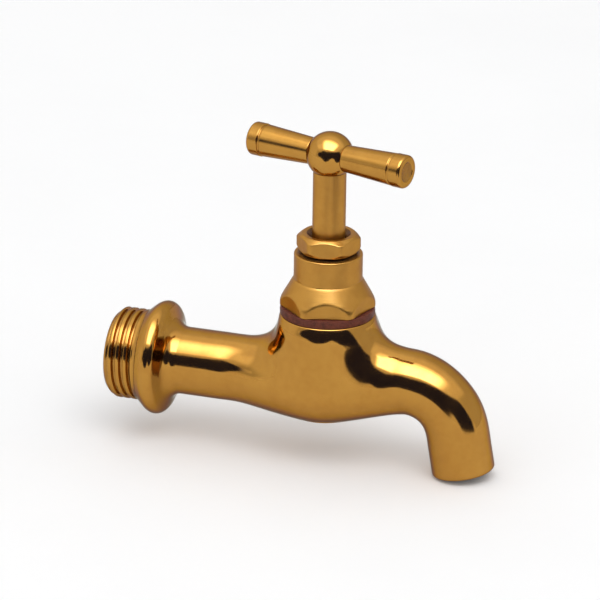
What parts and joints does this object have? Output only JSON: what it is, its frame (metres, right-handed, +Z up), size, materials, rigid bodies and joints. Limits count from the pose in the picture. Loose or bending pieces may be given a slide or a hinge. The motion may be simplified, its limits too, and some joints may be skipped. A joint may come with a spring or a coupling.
{
  "type": "screw-down bib tap",
  "caption": "Screw-down bib tap in polished brass: threaded inlet tail with a rounded collar, bowl with a hexagon bonnet, curved spout, and a T handle on a rising stem.",
  "frame": {"origin": "on the inlet axis, in the plane of the collar's shoulder, where the inlet thread's plain shank ends", "axes": "+X along the inlet axis towards the spout, +Z up along the valve stem, inlet thread towards -X"},
  "size_m": [0.0902, 0.026, 0.0777],
  "materials": {
    "polished_brass": "polished and lacquered",
    "turned_brass": "turned, not polished",
    "red_fibre": null,
    "washer_rubber": "moulded",
    "packing": null
  },
  "bodies": {
    "tap": {"tap_body": "polished_brass", "bonnet_gasket": "red_fibre", "bonnet": "polished_brass", "lower_packing_ring": "packing", "upper_packing_ring": "packing", "gland_follower": "turned_brass", "gland_nut": "polished_brass"},
    "jumper": {"jumper": "turned_brass", "seat_washer": "washer_rubber", "washer_plate": "turned_brass", "washer_nut": "turned_brass"},
    "spindle": {"spindle": "polished_brass", "handle_ball": "polished_brass", "handle_stud": "turned_brass", "near_handle_arm": "polished_brass", "far_handle_arm": "polished_brass"}
  },
  "joints": [
    {"name": "valve_lift", "type": "slide", "parent": "tap", "child": "jumper", "axis": [0, 0, 1], "range_m": [0, 0.005]},
    {"name": "spindle_turn", "type": "hinge", "parent": "jumper", "child": "spindle", "pos_m": [0.0422, 0, 0.0539], "axis": [0, 0, 1], "range_deg": [0, 900]}
  ],
  "couplings": [
    {"joint": "spindle_turn", "follows": "valve_lift", "rad_per_m": 3141.6}
  ]
}
